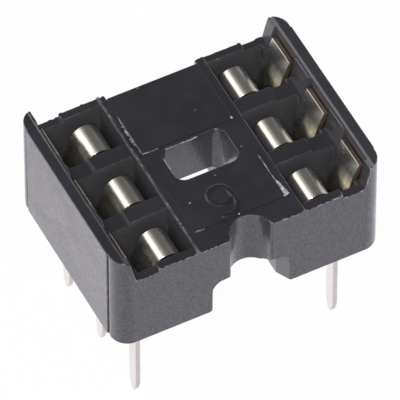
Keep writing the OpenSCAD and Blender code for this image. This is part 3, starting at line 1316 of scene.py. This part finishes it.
@dataclass
class DeckMark:
    """Plain raised cavity number on the front panel: a nine drawn with one stroke."""

    centre: Pair = (-0.24, -1.92)
    loop_r: float = 0.4
    loop_from_deg: float = -8.0
    loop_turn_deg: float = 328.0
    loop_steps: int = 40
    stroke: float = 0.12
    slope: float = 0.075
    rise: float = 0.04
    sink_share: float = 0.2
    root: float = 0.02
    deck_top: float = 3.505
    tail: tuple[Pair, ...] = (
        (0.18, -2.12), (0.2, -2.32), (0.14, -2.55), (0.0, -2.72), (-0.2, -2.81), (-0.4, -2.8), (-0.55, -2.71),
    )

    def build(self, plastic: Material) -> None:
        """Builds the stroke with sloping sides.

        Args:
            plastic: The mark's finish, darker than the deck as painted shade of the stroke's flanks.
        """
        bm = bmesh.new()
        path = self._path()
        half = self.stroke / 2
        profile = (
            (-half - self.slope, -self.root), (-half, self.rise), (half, self.rise), (half + self.slope, -self.root),
        )
        rings = []
        for i, here in enumerate(path):
            along = (path[min(i + 1, len(path) - 1)] - path[max(i - 1, 0)]).normalized()
            across = Vector((-along.y, along.x))
            level = self.deck_top - self.rise * self.sink_share * i / len(path)
            rings.append([bm.verts.new((*(here + across * side), level + z)) for side, z in profile])
        loft(bm, rings)
        settle(finish_mesh(bm, "deck_number", [plastic]), SOCKET_BODY, PLASTIC_SLOT)

    def _path(self) -> list[Vector]:
        """Draws the middle line of the stroke, from the end of the tail up and round the loop.

        Returns:
            The points of the line.
        """
        points = [Vector(place) for place in reversed(self.tail)]
        for i in range(self.loop_steps + 1):
            angle = math.radians(self.loop_from_deg + self.loop_turn_deg * i / self.loop_steps)
            points.append(Vector(self.centre) + self.loop_r * Vector((math.cos(angle), math.sin(angle))))
        return points


@dataclass(frozen=True)
class Lamp:
    """A soft rectangular lamp that faces the socket: its middle and size in millimetres and its power in watts."""

    name: str
    place: Triple
    size: Pair
    power: float
    tint: Triple = (1.0, 1.0, 1.0)

    def build(self) -> None:
        """Adds the lamp to the scene."""
        lamp = bpy.data.lights.new(self.name, "AREA")
        lamp.shape = "RECTANGLE"
        lamp.size, lamp.size_y = (side * MM for side in self.size)
        lamp.energy = self.power
        lamp.color = self.tint
        holder = bpy.data.objects.new(self.name, lamp)
        holder.location = Vector(self.place) * MM
        holder.rotation_euler = Vector(self.place).to_track_quat("Z", "Y").to_euler()
        bpy.context.scene.collection.objects.link(holder)


@dataclass
class Studio:
    """White table, soft light and the camera at the photograph's place."""

    floor_z: float = -4.26
    floor_half: float = 400.0
    floor_paint: Colour = (0.86, 0.86, 0.86, 1.0)
    floor_glow: float = 0.96
    mirror_tint: Colour = (0.975, 0.95, 1.0, 1.0)
    white: Colour = (1.0, 1.0, 1.0, 1.0)
    sky_low: float = 0.95
    sky_high: float = 0.115
    sky_span: float = 0.55
    lamps: tuple[Lamp, ...] = (
        Lamp("soft_box", (-147.0, 139.0, 142.0), (240.0, 180.0), 0.225),
        Lamp("soft_edge", (-73.0, 69.0, 226.0), (240.0, 96.0), 0.021, (1.0, 0.84, 0.74)),
        Lamp("view_fill", (-90.0, -168.0, 234.0), (70.0, 70.0), 0.8),
    )
    view_azimuth: float = -27.18
    view_elevation: float = 50.87
    view_distance: float = 282.8
    view_target: Triple = (-0.365, -0.713, 2.0)
    view_focal_px: float = 8311.0
    view_clip: Pair = (10.0, 10000.0)
    frame_px: float = 400.0
    sensor_mm: float = 36.0

    def build(self) -> None:
        """Builds the floor, the world, the lamps and the camera."""
        self._floor()
        self._world()
        for lamp in self.lamps:
            lamp.build()
        self._camera()

    def _floor(self) -> None:
        """Pale table under the tails, white to the camera and in reflections, clear from below."""
        bm = bmesh.new()
        bmesh.ops.create_grid(bm, x_segments=1, y_segments=1, size=self.floor_half)
        bmesh.ops.translate(bm, vec=UP * self.floor_z, verts=bm.verts)
        material, tree, _ = new_material("pale_table")
        tree.nodes.clear()
        rays = add_node(tree, "LightPath").outputs
        seen = calculated(tree, "MULTIPLY", rays["Is Camera Ray"], self.floor_glow)
        mirrored = calculated(tree, "MAXIMUM", rays["Is Glossy Ray"], rays["Is Transmission Ray"])
        tint = mixed(tree, rays["Is Camera Ray"], self.mirror_tint, self.white)
        paint = add_node(tree, "BsdfDiffuse", Color=self.floor_paint).outputs["BSDF"]
        glow = add_node(tree, "Emission", Strength=1.0, Color=tint).outputs["Emission"]
        above = blended(tree, calculated(tree, "MAXIMUM", seen, mirrored), paint, glow)
        clear = add_node(tree, "BsdfTransparent").outputs["BSDF"]
        back = add_node(tree, "NewGeometry").outputs["Backfacing"]
        add_node(tree, "OutputMaterial", Surface=blended(tree, back, above, clear))
        finish_mesh(bm, "table", [material])

    def _world(self) -> None:
        """Dim room above, white near the table, plain white where the camera looks past the table."""
        world = bpy.data.worlds.new("room")
        bpy.context.scene.world = world
        world.use_nodes = True
        tree = world.node_tree
        tree.nodes.clear()
        place = add_node(tree, "TexCoord").outputs["Generated"]
        sky = add_node(
            tree, "MapRange", interpolation_type="SMOOTHSTEP",
            Value=add_node(tree, "SeparateXYZ", Vector=place).outputs["Z"],
            From_Min=0.0, From_Max=self.sky_span, To_Min=self.sky_low, To_Max=self.sky_high,
        )
        seen = add_node(tree, "LightPath").outputs["Is Camera Ray"]
        strength = add_node(tree, "Mix", Factor=seen, A=sky.outputs["Result"], B=1.0)
        light = add_node(tree, "Background", Color=self.white, Strength=strength.outputs["Result"])
        add_node(tree, "OutputWorld", Surface=light.outputs["Background"])

    def _camera(self) -> None:
        """Sets the camera where the photograph was taken from."""
        azimuth, elevation = math.radians(self.view_azimuth), math.radians(self.view_elevation)
        level = math.cos(elevation)
        back = Vector((math.sin(azimuth) * level, -math.cos(azimuth) * level, math.sin(elevation)))
        data = bpy.data.cameras.new("photo_camera")
        data.sensor_width = self.sensor_mm
        data.lens = self.view_focal_px / self.frame_px * self.sensor_mm
        data.clip_start, data.clip_end = (distance * MM for distance in self.view_clip)
        camera = bpy.data.objects.new("photo_camera", data)
        camera.location = (Vector(self.view_target) + back * self.view_distance) * MM
        camera.rotation_mode = "QUATERNION"
        camera.rotation_quaternion = (-back).to_track_quat("-Z", "Y")
        bpy.context.scene.collection.objects.link(camera)
        bpy.context.scene.camera = camera


@dataclass
class Socket:
    """The whole socket: its housing and both rows of contacts."""

    contacts_per_row: int = 3
    pitch: float = 2.54

    def contacts(self) -> list[Contact]:
        """Sets out the contacts along the first row and back along the second.

        Returns:
            The contacts in the order of their numbers.
        """
        middle = (self.contacts_per_row + 1) / 2
        made = []
        for number in range(1, 2 * self.contacts_per_row + 1):
            first = number <= self.contacts_per_row
            place = number if first else 2 * self.contacts_per_row + 1 - number
            made.append(Contact(number, Row.FIRST if first else Row.SECOND, (place - middle) * self.pitch))
        return made

    def build(self, frame: dict) -> None:
        """Builds and dresses every piece.

        Args:
            frame: The loaded frame.
        """
        effects = Effects()
        Housing().build(BLACK_PLASTIC.build(effects), frame)
        MouldFlash().build(TORN_GLINTING_PLASTIC.build(effects))
        DeckMark().build(SHADED_MARK_PLASTIC.build(effects))
        plate, tail_edge, tail = (metal.build(effects) for metal in (TIN_PLATE, TAIL_EDGE, TAIL_PLATE))
        # the second row's sheared edges get the darker bronze as painted shade
        bare = {Row.FIRST: BARE_BRONZE.build(effects), Row.SECOND: SHADED_BRONZE.build(effects)}
        for contact in self.contacts():
            contact.build([plate, bare[contact.row], tail_edge, tail])


def main() -> None:
    """Loads the frame, dresses the socket and sets up the studio."""
    logging.basicConfig(level=logging.INFO, format="%(name)s: %(message)s")
    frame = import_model()
    Socket().build(frame)
    Studio().build()
    bpy.context.scene.view_settings.view_transform = "Standard"


if __name__ == "__main__":
    main()
